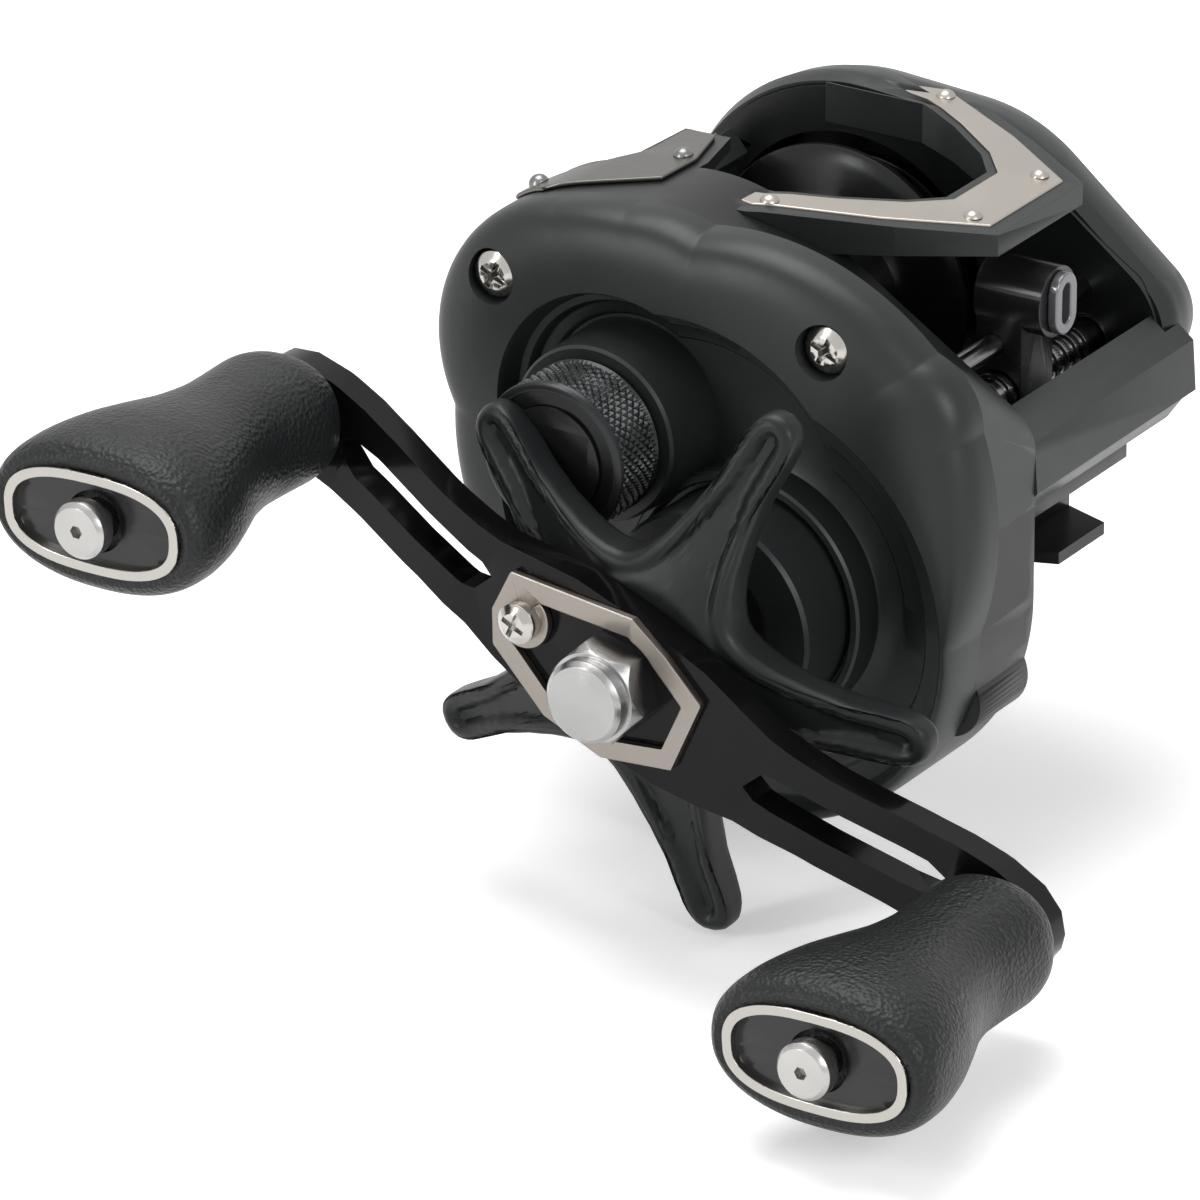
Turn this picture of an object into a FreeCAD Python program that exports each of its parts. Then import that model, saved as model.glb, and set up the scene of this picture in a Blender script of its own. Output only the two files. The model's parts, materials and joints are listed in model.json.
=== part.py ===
import FreeCAD, Part
import math
import os

os.makedirs("parts", exist_ok=True)

# Low-profile baitcasting reel, real size in millimetres.
# Working frame: X along the spool axis (handle side is -X), -Y to the rod tip, +Z up.
# Every shape is drawn about the spool axis and lifted by SEAT_DROP on export,
# so the underside of the foot lies on the plane z = 0 of the finished files.
SEAT_DROP = 16.8          # spool axis above the foot's underside
FIT_GAP = 0.05            # radial running clearance of shafts

# Gear train
HANDLE_Y = -14.8          # handle axis from the spool axis
HANDLE_Z = -16.1
DRIVE_TEETH = 90
PINION_TEETH = 12
WORM_Y = -28.0            # worm axis from the spool axis
WORM_Z = -0.5
WIND_TEETH = 32           # level-wind gear on the drive shaft
WORM_TEETH = 16

# Body envelope: tangent circles seen from the side
GEAR_R = 24.3             # round the handle axis
FACE_X = -31.2            # handle-side face
COVER_X = -25.0           # seam of the handle-side cover
WALL_X = 14.6             # inside faces of the two frame walls
WALL_T = 2.4
PALM_X = 27.4             # palm-side face
SKIN = 2.2                # cover thickness
FOOT_T = 1.3              # foot plate thickness

# Spool
SPOOL_R = 15.2
SPOOL_HALF = 13.0
HUB_R = 9.2
FRAME_HOLE_R = 15.8

# Handle
NUT_X = -60.4
ARM_X = -54.2             # front face of the arm at the hub
ARM_T = 3.4
ARM_SWEEP = 5.0           # the arm's ends lie this much nearer the body
ARM_HALF = 45.0           # handle axis to knob axis
ARM_ANGLE = 24.0          # degrees above the horizontal, rear knob up
KNOB_X = -49.6            # inner end of the knobs
KNOB_END_X = -84.0
CAP_X = -86.7

# Star drag and cast tension knob
STAR_R = 30.1
STAR_PHASE = 43.5
STAR_X = -50.2
TENSION_R = 8.2
TENSION_X0 = -42.5
TENSION_X1 = -35.2


def V(x, y, z):
    return FreeCAD.Vector(x, y, z)


def tube_x(x0, x1, r, y=0.0, z=0.0, bore=0.0):
    """Cylinder or ring along X."""
    low, high = min(x0, x1), max(x0, x1)
    body = Part.makeCylinder(r, high - low, V(low, y, z), V(1, 0, 0))
    if bore > 0.0:
        body = body.cut(Part.makeCylinder(bore, high - low + 2.0, V(low - 1.0, y, z), V(1, 0, 0)))
    return body


def cone_x(x0, r0, x1, r1, y=0.0, z=0.0):
    """Cone along X from radius r0 at x0 to r1 at x1, x0 below x1."""
    return Part.makeCone(r0, r1, x1 - x0, V(x0, y, z), V(1, 0, 0))


def box(x0, x1, y0, y1, z0, z1):
    return Part.makeBox(x1 - x0, y1 - y0, z1 - z0, V(x0, y0, z0))


def poly_x(points, x0, x1):
    """Polygon in Y, Z extruded from x0 to x1."""
    ring = [V(x0, y, z) for y, z in points]
    face = Part.Face(Part.makePolygon(ring + ring[:1]))
    return face.extrude(V(x1 - x0, 0, 0))


def poly_z(points, z0, z1):
    """Polygon in X, Y extruded from z0 to z1."""
    ring = [V(x, y, z0) for x, y in points]
    face = Part.Face(Part.makePolygon(ring + ring[:1]))
    return face.extrude(V(0, 0, z1 - z0))


def hull_wire(x, circles, shrink=0.0):
    """Outline round circles (y, z, r) listed anticlockwise, joined by tangents."""
    count = len(circles)
    spans = []
    for i in range(count):
        y0, z0, r0 = circles[i]
        y1, z1, r1 = circles[(i + 1) % count]
        r0 = r0 - shrink
        r1 = r1 - shrink
        length = math.hypot(y1 - y0, z1 - z0)
        turn = math.atan2(z1 - z0, y1 - y0) - math.acos((r0 - r1) / length)
        n = (math.cos(turn), math.sin(turn))
        start = (y0 + r0 * n[0], z0 + r0 * n[1])
        end = (y1 + r1 * n[0], z1 + r1 * n[1])
        spans.append((start, end, turn))
    edges = []
    for i in range(count):
        start, end, turn = spans[i]
        edges.append(Part.makeLine(V(x, *start), V(x, *end)))
        y1, z1, r1 = circles[(i + 1) % count]
        r1 = r1 - shrink
        after = spans[(i + 1) % count]
        sweep = (after[2] - turn) % (2.0 * math.pi)
        middle = turn + sweep / 2.0
        on_arc = V(x, y1 + r1 * math.cos(middle), z1 + r1 * math.sin(middle))
        edges.append(Part.Arc(V(x, *end), on_arc, V(x, *after[0])).toShape())
    return Part.Wire(edges)


def hull_loft(sections, circles):
    """Solid through the same outline at (x, shrink) stations."""
    wires = [hull_wire(x, circles, shrink) for x, shrink in sections]
    return Part.makeLoft(wires, True, True)


def oval_wire(x, y, z, half_y, half_z, power=2.6, count=28):
    """Closed superellipse spline in the plane x."""
    points = []
    for i in range(count):
        a = 2.0 * math.pi * i / count
        c, s = math.cos(a), math.sin(a)
        points.append(V(x, y + half_y * math.copysign(abs(c) ** (2.0 / power), c),
                        z + half_z * math.copysign(abs(s) ** (2.0 / power), s)))
    curve = Part.BSplineCurve()
    curve.interpolate(points, PeriodicFlag=True)
    return Part.Wire([curve.toShape()])


def gear(teeth, module, x0, x1, y, z, phase, bore):
    """Straight gear with a tooth centred at phase (radians)."""
    pitch_r = module * teeth / 2.0
    tip, root = pitch_r + 0.62 * module, pitch_r - 0.95 * module
    step = 2.0 * math.pi / teeth
    points = []
    for i in range(teeth):
        centre = phase + i * step
        for offset, r in ((-0.34, root), (-0.11, tip), (0.11, tip), (0.34, root)):
            a = centre + offset * step
            points.append((y + r * math.cos(a), z + r * math.sin(a)))
    body = poly_x(points, x0, x1)
    return body.cut(tube_x(x0 - 1, x1 + 1, bore, y, z))


def round_edges(shape, radius, test):
    """Fillet the edges that pass the test; keep the plain shape if that fails."""
    edges = [e for e in shape.Edges if test(e)]
    try:
        rounded = shape.makeFillet(radius, edges)
        if rounded.isValid() and rounded.Volume > 0.5 * shape.Volume:
            return rounded
    except Exception:
        pass
    return shape


def phillips_head(x, y, z, r):
    """Low dome with a cross recess, facing -X."""
    head = tube_x(x, x + 1.2, r, y, z).fuse(cone_x(x - 0.6, r * 0.6, x, r, y, z))
    for turn in (25.0, 115.0):
        slot = box(x - 1.0, x + 0.1, y - r * 0.62, y + r * 0.62, z - 0.28, z + 0.28)
        slot.rotate(V(x, y, z), V(1, 0, 0), turn)
        head = head.cut(slot)
    return head


def ring_positions(count, radius, y, z, phase=0.0):
    """Points evenly round a circle."""
    step = 2.0 * math.pi / count
    return [(y + radius * math.cos(phase + i * step), z + radius * math.sin(phase + i * step))
            for i in range(count)]


TOP = (-2.0, 1.0, 20.8)
NOSE = (-31.5, 5.5, 7.6)
GEAR = (HANDLE_Y, HANDLE_Z, GEAR_R)
REAR = (7.0, 5.0, 15.8)
LEFT = [REAR, TOP, NOSE, GEAR]
LOW_NOSE = (-34.4, -0.3, 4.6)
LEFT_INNER = [REAR, TOP, LOW_NOSE, GEAR]
PALM = (0.0, 0.0, 21.6)
PALM_TOP = (-10.0, 1.0, 19.9)
PALM_NOSE = (-30.0, 1.0, 7.2)
RIGHT = [PALM, PALM_TOP, PALM_NOSE]
WALL = [(0.0, 0.0, 20.6), (-10.0, 1.0, 18.9), (-28.6, 1.0, 7.6)]
MESH_ANGLE = math.atan2(-HANDLE_Z, -HANDLE_Y)
GEAR_DISTANCE = math.hypot(HANDLE_Y, HANDLE_Z)
GEAR_MODULE = 2.0 * GEAR_DISTANCE / (DRIVE_TEETH + PINION_TEETH)
WIND_DISTANCE = math.hypot(WORM_Y - HANDLE_Y, WORM_Z - HANDLE_Z)
WIND_MODULE = 2.0 * WIND_DISTANCE / (WIND_TEETH + WORM_TEETH)
WIND_ANGLE = math.atan2(WORM_Z - HANDLE_Z, WORM_Y - HANDLE_Y)


def gear_side(shrink):
    """Handle-side half of the body, whose front corner drops away towards the line window."""
    wires = [hull_wire(COVER_X - 1.0, LEFT, shrink), hull_wire(COVER_X, LEFT, shrink),
             hull_wire(-WALL_X, LEFT_INNER, shrink)]
    return Part.makeLoft(wires, True, True)


def nose_region():
    """Space of the front cover: ahead of the gear box and above its floor."""
    return box(COVER_X, WALL_X, -45.0, -33.2, -6.2, 14.0)


def frame():
    outer = gear_side(0.0).common(box(COVER_X, 0, -60, 60, -60, 60))
    room = gear_side(SKIN).common(box(-40, -WALL_X - WALL_T, -60, 60, -60, 60))
    left = outer.cut(room).cut(nose_region())
    right = hull_loft([(WALL_X, 0.0), (WALL_X + WALL_T, 0.0)], WALL)
    holes = tube_x(-20, 20, FRAME_HOLE_R)
    rear = tube_x(-WALL_X, WALL_X, 18.6, bore=FRAME_HOLE_R - 0.2)
    rear = rear.common(box(-WALL_X, WALL_X, -13.0, 20.0, -SEAT_DROP + FOOT_T, -1.0))
    lug = tube_x(-24.0, -WALL_X, 4.0, -34.6, -24.6).cut(tube_x(-25, -14, GEAR_R - SKIN, HANDLE_Y, HANDLE_Z))
    rear = rear.cut(box(-20, 20, -20.0, 11.0, -8.0, 20.0))
    cross = box(-WALL_X, WALL_X, -33.0, -17.5, -12.6, -10.2)
    pedestal = box(-6.5, 6.5, -31.0, -10.0, -SEAT_DROP + FOOT_T, -10.2).cut(tube_x(-8, 8, FRAME_HOLE_R - 0.2))
    tail = box(-6.5, 6.5, 8.0, 17.0, -SEAT_DROP + FOOT_T, -8.0).cut(tube_x(-8, 8, FRAME_HOLE_R))
    body = left.fuse([right, rear, cross, pedestal, tail, lug, shoulder_block()]).cut(holes).cut(trim_solid())
    sleeve = tube_x(-WALL_X - WALL_T, -WALL_X, FRAME_HOLE_R + 1.0, bore=7.2)
    body = body.fuse(sleeve)
    body = body.cut(tube_x(-18, -14, 3.0 + FIT_GAP, HANDLE_Y, HANDLE_Z))
    for x in (-18.0, 14.0):
        body = body.cut(tube_x(x, x + 4, 2.6, WORM_Y, WORM_Z))
    clutch_slot = box(-18.0, -14.0, 15.7, 19.6, 0.6, 7.4)
    return body.cut(clutch_slot)


def handle_side_cover():
    outer = hull_loft([(FACE_X, 3.4), (-30.7, 1.9), (-29.4, 0.8), (-27.4, 0.2), (COVER_X, 0.0)], LEFT)
    room = hull_loft([(-28.0, SKIN + 1.4), (COVER_X + 1, SKIN)], LEFT)
    shell = outer.cut(room)
    dish = [(0, 0, 13.2), (-26.0, -4.0, 4.0), (HANDLE_Y, HANDLE_Z, 19.4)]
    recess = hull_loft([(-33.0, -1.2), (-29.2, 0.0)], dish)
    floor = hull_loft([(-29.4, 0.4), (-27.8, 0.4)], dish)
    shell = shell.fuse(floor.common(outer)).cut(recess)
    boss = tube_x(-30.6, -27.8, 13.6, HANDLE_Y, HANDLE_Z)
    boss = boss.fuse(tube_x(-37.4, -30.0, 11.8, HANDLE_Y, HANDLE_Z))
    neck = tube_x(-34.6, -27.0, 6.4)
    shell = shell.fuse([boss, neck])
    shell = shell.cut(tube_x(-40, -24, 8.0, HANDLE_Y, HANDLE_Z))
    shell = shell.cut(tube_x(-36, -24, 4.6))
    for y, z in SCREWS:
        shell = shell.fuse(tube_x(-30.4, COVER_X, 3.6, y, z).common(outer))
        shell = shell.cut(tube_x(-36.0, -28.6, 2.7, y, z))
        shell = shell.cut(tube_x(-29.0, COVER_X - 1.5, 1.2, y, z))
    return shell.cut(nose_region())


SCREWS = [(14.6, 12.4), (-24.0, 12.6)]


def cover_screws():
    parts = []
    for y, z in SCREWS:
        head = phillips_head(-30.0, y, z, 2.4)
        stem = tube_x(-28.8, COVER_X - 1.6, 1.15, y, z)
        parts.append(head.fuse(stem))
    return Part.makeCompound(parts)


def palm_side_cover():
    stations = [(17.0, 0.0), (20.0, 0.4), (22.5, 1.2), (25.0, 3.0), (26.6, 5.0), (PALM_X, 6.8)]
    outer = hull_loft(stations, RIGHT)
    rim = hull_loft([(15.2, 0.6), (17.0, 0.0)], RIGHT)
    rim = rim.cut(hull_loft([(14.0, -0.05), (18.0, -0.05)], WALL))
    room = hull_loft([(16.9, SKIN), (21.0, SKIN + 0.8), (24.2, SKIN + 4.0)], RIGHT)
    shell = outer.cut(room).fuse(rim)
    dial_seat = tube_x(26.0, 30.0, 8.5, -2.0, -1.0)
    return shell.cut(dial_seat).cut(trim_solid()).cut(tube_x(20.0, 30.0, 3.0 + FIT_GAP, -2.0, -1.0))


def brake_dial():
    dial = tube_x(26.3, 28.4, 8.1, -2.0, -1.0)
    for y, z in ring_positions(24, 8.35, -2.0, -1.0):
        dial = dial.cut(tube_x(27.2, 29.0, 0.45, y, z))
    return dial.fuse(tube_x(24.8, 27.0, 3.0, -2.0, -1.0))


def magnet_plate():
    plate = tube_x(17.6, 18.8, 12.5, bore=5.0)
    for y, z in ring_positions(8, 9.0, 0, 0):
        plate = plate.fuse(tube_x(16.4, 17.8, 2.2, y, z))
    return plate


DECK_TILT = 5.5           # the deck drops this many degrees to the front
DECK = [(-22.0, 3.0), (-20.5, -9.0), (-13.8, -22.0), (-8.4, -30.8), (8.4, -30.8), (13.8, -22.0), (20.5, -9.0),
        (20.5, 3.0)]


def spool_window(grow=0.0):
    """Opening over the spool, narrowing to the front."""
    g = grow
    return [(-14.4 + g, 20), (-14.4 + g, -8.5), (-11.4 + g, -14.0), (-7.4 + g, -19.5), (-4.0, -22.2 + g),
            (4.0, -22.2 + g), (7.4 - g, -19.5), (11.4 - g, -14.0), (14.4 - g, -8.5), (14.4 - g, 20)]


def top_hood():
    deck = poly_z(DECK, 16.6, 20.9)
    tilt = box(-40, 40, -60, -10, 20.9, 40)
    tilt.rotate(V(0, -10, 20.9), V(1, 0, 0), DECK_TILT)
    deck = deck.cut(tilt)
    under = box(-40, 40, -60, -4, 0, 16.6)
    under.rotate(V(0, -4, 16.6), V(1, 0, 0), 3.0)
    deck = deck.cut(under)
    hood = deck.cut(poly_z(spool_window(), 0, 40))
    hood = hood.cut(gear_side(0.0))
    hood = hood.cut(hull_loft([(WALL_X, 0.0), (23.5, 0.0)], RIGHT))
    hood = hood.cut(tube_x(-30, 30, SPOOL_R + 0.9))
    return hood.cut(trim_solid()).cut(shoulder_block())


TRIM_OUTLINE = [(-17.4, -1.2), (-18.8, -8.6), (-13.2, -20.0), (-7.2, -29.2), (7.2, -29.2), (13.2, -20.0),
                (18.8, -8.6), (17.4, -1.2), (15.6, -8.4), (12.2, -14.4), (8.1, -20.1), (4.4, -23.2),
                (-4.4, -23.2), (-8.1, -20.1), (-12.2, -14.4), (-15.6, -8.4)]


def trim_solid():
    """Thin plate that follows the tilted deck."""
    drop = 26.0 * math.tan(math.radians(DECK_TILT))
    side = [(10.0, 20.5), (10.0, 21.1), (-10.0, 21.1), (-36.0, 21.1 - drop), (-36.0, 20.5 - drop), (-10.0, 20.5)]
    return poly_z(TRIM_OUTLINE, 10.0, 30.0).common(poly_x(side, -30, 30))


def deck_height(y):
    return 21.1 - max(0.0, -10.0 - y) * math.tan(math.radians(DECK_TILT))


RIVETS = [(-17.2, -9.6), (17.2, -9.6), (-6.6, -26.8), (6.6, -26.8)]


def trim_rivets():
    parts = []
    for x, y in RIVETS:
        top = deck_height(y)
        ball = Part.makeSphere(1.1, V(x, y, top - 0.45))
        parts.append(ball.cut(box(x - 3, x + 3, y - 3, y + 3, top - 4, top)))
    return Part.makeCompound(parts)


def nose_cover():
    outer = gear_side(0.0).common(box(COVER_X, 0, -60, 60, -60, 60)).common(nose_region())
    left = outer.cut(gear_side(SKIN + 0.4))
    bar = [(-35.4, 3.4), (-38.9, 0.6), (-39.3, -4.8), (-37.6, -7.2), (-33.0, -11.0), (-33.0, -8.6),
           (-36.4, -5.4), (-36.7, -0.6), (-34.6, 1.4)]
    bar = poly_x(bar, -WALL_X, WALL_X)
    corner = poly_x([(-35.4, 3.4), (-38.9, 0.6), (-39.3, -4.8), (-36.4, -5.4), (-36.7, -0.6), (-34.6, 1.4)],
                    WALL_X, 17.4)
    end = hull_loft([(WALL_X, 0.0), (19.0, 0.0)], RIGHT)
    return left.fuse(bar).fuse(corner.cut(end))


def foot():
    half = 6.5
    plan = [(-half, -31.0), (-4.6, -36.2), (4.6, -36.2), (half, -31.0), (half, 20.0), (4.2, 27.0),
            (-4.2, 27.0), (-half, 20.0)]
    plate = poly_z(plan, -SEAT_DROP, -SEAT_DROP + FOOT_T)
    for y0, y1 in ((-33.0, -6.0), (6.0, 24.0)):
        saddle = Part.makeCylinder(16.0, y1 - y0, V(0, y0, -SEAT_DROP - 15.4), V(0, 1, 0))
        plate = plate.cut(saddle)
    for y in FOOT_SCREWS:
        plate = plate.cut(Part.makeCylinder(1.0, 6, V(0, y, -20), V(0, 0, 1)))
    return plate


FOOT_SCREWS = (-28.0, -19.0, 13.5)


def foot_screws():
    parts = []
    for y in FOOT_SCREWS:
        parts.append(Part.makeCylinder(0.95, 0.9, V(0, y, -SEAT_DROP + 0.4), V(0, 0, 1)))
    return Part.makeCompound(parts)


def thumb_bar():
    """Clutch bar across the rear, pressed down and back to free the spool."""
    arc = tube_x(-12.4, 12.4, 19.5, bore=16.4)
    keep = poly_x([(0, 0), (30.0, 9.0), (30.0, 34.0)], -12.4, 12.4)
    return arc.common(keep)


def thumb_trim():
    arc = tube_x(-11.4, 11.4, 20.0, bore=19.5)
    return arc.common(poly_x([(0, 0), (30.0, 12.0), (30.0, 30.0)], -12, 12))


SHOULDER = [(-22.6, 17.0), (-24.6, 12.4), (-19.4, 1.6), (-13.2, 1.4), (-6.4, 3.4), (-5.2, 7.4), (-12.4, 7.7),
            (-17.4, 11.2)]
SHOULDER_PINS = [(-21.8, 14.6), (-12.8, 3.2)]


def body_skin(x0, x1, inner, outer):
    """Layer of the gear-side outline between two insets."""
    layer = hull_loft([(x0, outer), (x1, outer)], LEFT)
    return layer.cut(hull_loft([(x0 - 1, inner), (x1 + 1, inner)], LEFT))


def shoulder_block():
    """Part of the frame that carries the shoulder plate over the spool's rear edge."""
    plan = [(-18.0, 0.4), (-13.0, 0.2), (-5.4, 2.2), (-4.0, 8.4), (-12.0, 8.9), (-18.0, 12.0)]
    return poly_z(plan, 5.0, 30.0).common(body_skin(-18.0, -3.0, 1.4, 0.0))


def shoulder_plate():
    plate = poly_z(SHOULDER, 5.0, 30.0)
    return plate.common(body_skin(-26.0, -4.0, 0.0, -0.5))


def shoulder_pins():
    parts = []
    for x, y in SHOULDER_PINS:
        z = shoulder_height(y)
        ball = Part.makeSphere(1.1, V(x, y, z + 0.4))
        parts.append(ball.cut(hull_loft([(x - 3, -0.5), (x + 3, -0.5)], LEFT)))
    return Part.makeCompound(parts)


def shoulder_height(y):
    """Height of the gear-side outline above the spool axis, behind the top."""
    if y > REAR[0]:
        return REAR[1] + math.sqrt(REAR[2] ** 2 - (y - REAR[0]) ** 2)
    return max(TOP[1] + math.sqrt(TOP[2] ** 2 - (y - TOP[0]) ** 2), REAR[1] + math.sqrt(REAR[2] ** 2 - (y - REAR[0]) ** 2))


def spool():
    profile = [(-SPOOL_HALF, 3.0), (-SPOOL_HALF, SPOOL_R - 0.6), (-12.6, SPOOL_R), (-12.0, SPOOL_R),
               (-11.6, SPOOL_R - 0.4), (-9.6, HUB_R + 0.6), (-9.0, HUB_R), (9.0, HUB_R), (9.6, HUB_R + 0.6),
               (11.6, SPOOL_R - 0.4), (12.0, SPOOL_R), (12.6, SPOOL_R), (SPOOL_HALF, SPOOL_R - 0.6),
               (SPOOL_HALF, 13.4), (10.4, HUB_R - 1.2), (6.0, HUB_R - 1.6), (6.0, 3.0)]
    ring = [V(x, r, 0) for x, r in profile]
    face = Part.Face(Part.makePolygon(ring + ring[:1]))
    body = face.revolve(V(0, 0, 0), V(1, 0, 0), 360)
    body = body.fuse(tube_x(-SPOOL_HALF, 6.0, 3.2)).cut(tube_x(-20, 20, 1.8))
    for y, z in ring_positions(10, 6.0, 0, 0):
        body = body.cut(tube_x(-16, -11.2, 1.2, y, z))
    return body


def spool_shaft():
    rod = tube_x(-40.6, 20.5, 1.8)
    return rod.fuse(cone_x(20.5, 1.8, 21.4, 0.9)).fuse(cone_x(-41.4, 0.9, -40.6, 1.8))


def bearing(x, y, z, outer, inner, width):
    ring = tube_x(x, x + width, outer, y, z, outer - 0.8)
    ring = ring.fuse(tube_x(x, x + width, inner + 0.8, y, z, inner))
    return ring.fuse(tube_x(x + 0.3, x + width - 0.3, outer - 0.6, y, z, inner + 0.6))


def spool_bearings():
    left = bearing(-17.0, 0, 0, 7.2, 1.8 + FIT_GAP, 2.2)
    right = bearing(19.2, 0, 0, 4.4, 1.8 + FIT_GAP, 2.2)
    return Part.makeCompound([left, right])


def bearing_cup():
    """Holder of the palm-side spool bearing, joined to the palm cover's back."""
    cup = tube_x(19.0, 24.1, 5.4).cut(tube_x(18.0, 21.8, 4.4))
    return cup


def pinion():
    phase = MESH_ANGLE + math.pi + math.pi / PINION_TEETH
    teeth = gear(PINION_TEETH, GEAR_MODULE, -26.6, -21.4, 0, 0, phase, 1.8)
    groove = tube_x(-21.4, -20.4, 1.8 + 0.6, bore=1.8)
    return teeth.fuse([groove, tube_x(-20.4, -18.6, 3.6, bore=1.8)])


def drive_gear():
    teeth = gear(DRIVE_TEETH, GEAR_MODULE, -25.4, -22.6, HANDLE_Y, HANDLE_Z, MESH_ANGLE, 3.0)
    dish = tube_x(-25.6, -24.4, 16.0, HANDLE_Y, HANDLE_Z)
    teeth = teeth.cut(dish)
    for y, z in ring_positions(6, 10.0, HANDLE_Y, HANDLE_Z):
        teeth = teeth.cut(tube_x(-25, -22, 2.6, y, z))
    return teeth


def wind_gear():
    return gear(WIND_TEETH, WIND_MODULE, -21.4, -19.6, HANDLE_Y, HANDLE_Z, WIND_ANGLE, 3.0)


def drag_washers():
    low = tube_x(-25.2, -24.4, 15.2, HANDLE_Y, HANDLE_Z, 3.0)
    top = tube_x(-26.6, -25.2, 12.0, HANDLE_Y, HANDLE_Z, 3.0)
    return low.fuse(top)


def drive_shaft():
    rod = tube_x(-55.6, -15.0, 3.0, HANDLE_Y, HANDLE_Z)
    flange = tube_x(-22.6, -21.4, 5.4, HANDLE_Y, HANDLE_Z)
    return rod.fuse(flange)


def roller_bearing():
    shell = tube_x(-37.0, -27.4, 7.95, HANDLE_Y, HANDLE_Z, 5.8)
    parts = [shell]
    for y, z in ring_positions(10, 4.6, HANDLE_Y, HANDLE_Z):
        parts.append(tube_x(-36.4, -28.0, 0.9, y, z))
    caps = tube_x(-37.0, -36.4, 7.95, HANDLE_Y, HANDLE_Z, 3.3)
    caps = caps.fuse(tube_x(-28.0, -27.4, 7.95, HANDLE_Y, HANDLE_Z, 3.3))
    body = parts[0].fuse(parts[1:]).fuse(caps)
    return body


def worm_shaft():
    core = tube_x(-21.6, 16.8, 2.0, WORM_Y, WORM_Z)
    threads = []
    x = -12.0
    while x < 11.6:
        threads.append(tube_x(x, x + 0.9, 2.45, WORM_Y, WORM_Z))
        x = x + 1.9
    return core.fuse(threads)


def worm_gear():
    phase = WIND_ANGLE + math.pi + math.pi / WORM_TEETH
    return gear(WORM_TEETH, WIND_MODULE, -21.2, -19.8, WORM_Y, WORM_Z, phase, 2.0)


def worm_bushes():
    left = tube_x(-WALL_X - WALL_T, -WALL_X, 2.6, WORM_Y, WORM_Z, 2.0 + FIT_GAP)
    right = tube_x(WALL_X, WALL_X + WALL_T, 2.6, WORM_Y, WORM_Z, 2.0 + FIT_GAP)
    return Part.makeCompound([left, right])


GUIDE_Z = 9.4             # height of the line hole
ROD_Y = -27.4             # guide rod above the worm
ROD_Z = 4.6


def guide_rod():
    return tube_x(-WALL_X, WALL_X, 1.2, ROD_Y, ROD_Z)


def line_guide():
    """Carriage that rides the worm tube and the guide rod and carries the line hole."""
    block = box(-3.2, 3.2, -30.6, -25.4, -3.6, 7.6)
    block = block.cut(tube_x(-5, 5, 2.45 + FIT_GAP * 2, WORM_Y, WORM_Z))
    barrel = Part.makeCylinder(3.7, 7.6, V(0, -32.9, GUIDE_Z), V(0, 1, 0))
    block = block.fuse(barrel).cut(tube_x(-5, 5, 1.2 + FIT_GAP, ROD_Y, ROD_Z))
    hole = oval_prism(1.5, 2.9, -40.0, -20.0)
    return block.cut(hole)


def oval_prism(half_x, half_z, y0, y1):
    """Upright slot with round ends through the guide, along Y."""
    straight = half_z - half_x
    slot = box(-half_x, half_x, y0, y1, GUIDE_Z - straight, GUIDE_Z + straight)
    for z in (GUIDE_Z - straight, GUIDE_Z + straight):
        slot = slot.fuse(Part.makeCylinder(half_x, y1 - y0, V(0, y0, z), V(0, 1, 0)))
    return slot


def line_guide_insert():
    ring = oval_prism(1.5, 2.9, -34.0, -25.3).fuse(oval_prism(2.1, 3.3, -34.0, -32.9))
    return ring.cut(oval_prism(0.8, 2.1, -40.0, -20.0))


def pawl_cap():
    cap = Part.makeCylinder(2.4, 3.0, V(0, WORM_Y, -6.6), V(0, 0, 1))
    return cap.fuse(Part.makeCylinder(1.4, 1.4, V(0, WORM_Y, -7.8), V(0, 0, 1)))


def clutch_plate():
    """Plate beside the pinion, joined to the clutch bar through a slot in the frame."""
    plate = box(-19.0, -18.0, 2.0, 17.2, 0.0, 6.0).fuse(tube_x(-19.0, -18.0, 10.5))
    plate = plate.cut(tube_x(-20, -17, 8.0))
    link = box(-18.2, -13.2, 15.95, 17.2, 2.6, 6.0)
    tab = box(-13.9, -12.4, 15.95, 17.2, 2.6, 10.0)
    return plate.fuse([link, tab])


def tension_knob():
    body = tube_x(TENSION_X0, TENSION_X1, TENSION_R).cut(tube_x(-38.0, -34.0, 6.45))
    body = body.cut(tube_x(-44.0, TENSION_X0 + 0.8, 7.2))
    body = body.cut(tube_x(-42.0, -37.0, 2.2))
    for y, z in ring_positions(48, TENSION_R + 0.1, 0, 0):
        body = body.cut(tube_x(TENSION_X0 + 0.9, TENSION_X1 - 0.9, 0.26, y, z))
    return body


def tension_ring():
    return tube_x(TENSION_X0 + 0.2, TENSION_X0 + 0.8, 7.2, bore=5.6)


def tension_cap():
    return tube_x(TENSION_X0 - 0.2, TENSION_X0 + 0.8, 5.6)


def star_arm(angle):
    """One tapered arm swept back towards the body, drawn along +Y then turned."""
    sections = ((6.0, 7.4, STAR_X + 0.4, 4.4), (14.0, 4.6, STAR_X + 1.2, 4.6),
                (22.0, 2.9, STAR_X + 3.2, 3.2), (29.2, 2.4, STAR_X + 4.4, 2.6))
    wires = []
    for r, half, x, depth in sections:
        corners = [V(x, r, -half), V(x + depth, r, -half), V(x + depth, r, half), V(x, r, half)]
        wires.append(Part.makePolygon(corners + corners[:1]))
    arm = Part.makeLoft(wires, True, True)
    tip = Part.makeCylinder(2.4, 2.6, V(STAR_X + 4.4, 29.2 - 1.5, 0), V(1, 0, 0))
    tip = tip.common(box(-60, -30, 29.2, 40, -5, 5))
    arm = arm.fuse(tip)
    arm.rotate(V(0, 0, 0), V(1, 0, 0), angle)
    arm.translate(V(0, HANDLE_Y, HANDLE_Z))
    return arm


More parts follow.
